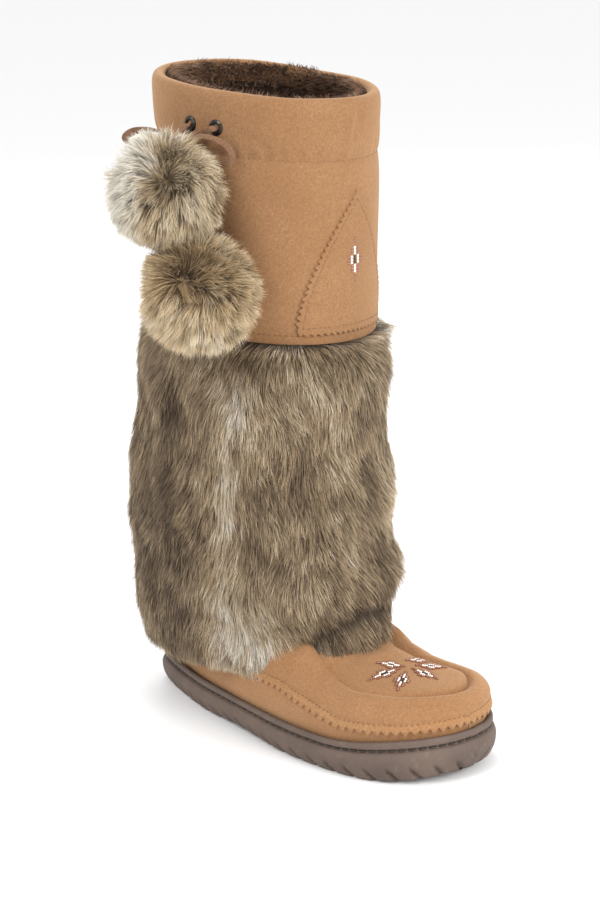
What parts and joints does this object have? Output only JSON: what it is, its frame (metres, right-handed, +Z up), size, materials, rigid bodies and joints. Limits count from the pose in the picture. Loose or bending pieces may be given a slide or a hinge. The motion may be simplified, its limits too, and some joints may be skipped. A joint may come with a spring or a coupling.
{
  "type": "mukluk boot",
  "caption": "Tall right winter boot with a moulded rubber cup sole, suede moccasin foot, fur shaft, suede cuff with a drawstring bow and two fur pompoms, and a beaded patch.",
  "frame": {"origin": "middle of the heel's flat spot on the underside of the sole, at floor height", "axes": "+X towards the toe, +Y towards the inner side of the foot, +Z up the shaft"},
  "size_m": [0.2898, 0.1928, 0.4207],
  "materials": {
    "rubber": "matt taupe-brown moulded rubber with a stitched groove",
    "suede": "brushed tan suede with a short nap",
    "fur": "rabbit fur, grey-brown roots with cream and tan tips",
    "fleece": "dark brown pile lining",
    "eyelet_metal": "dark gunmetal",
    "lace": "flat cut suede strip"
  },
  "bodies": {
    "root": {"outsole": "rubber", "insole": "fleece", "upper": "suede", "fur_shaft": "fur", "front_patch": "suede", "eyelet_rear": "eyelet_metal", "eyelet_front": "eyelet_metal", "lace_rear": "lace", "lace_front": "lace", "lace_loop_front": "lace", "lace_loop_rear": "lace", "lace_end_upper": "lace", "lace_end_lower": "lace", "lace_knot": "lace", "pompom_upper": "fur", "pompom_lower": "fur"}
  },
  "joints": []
}
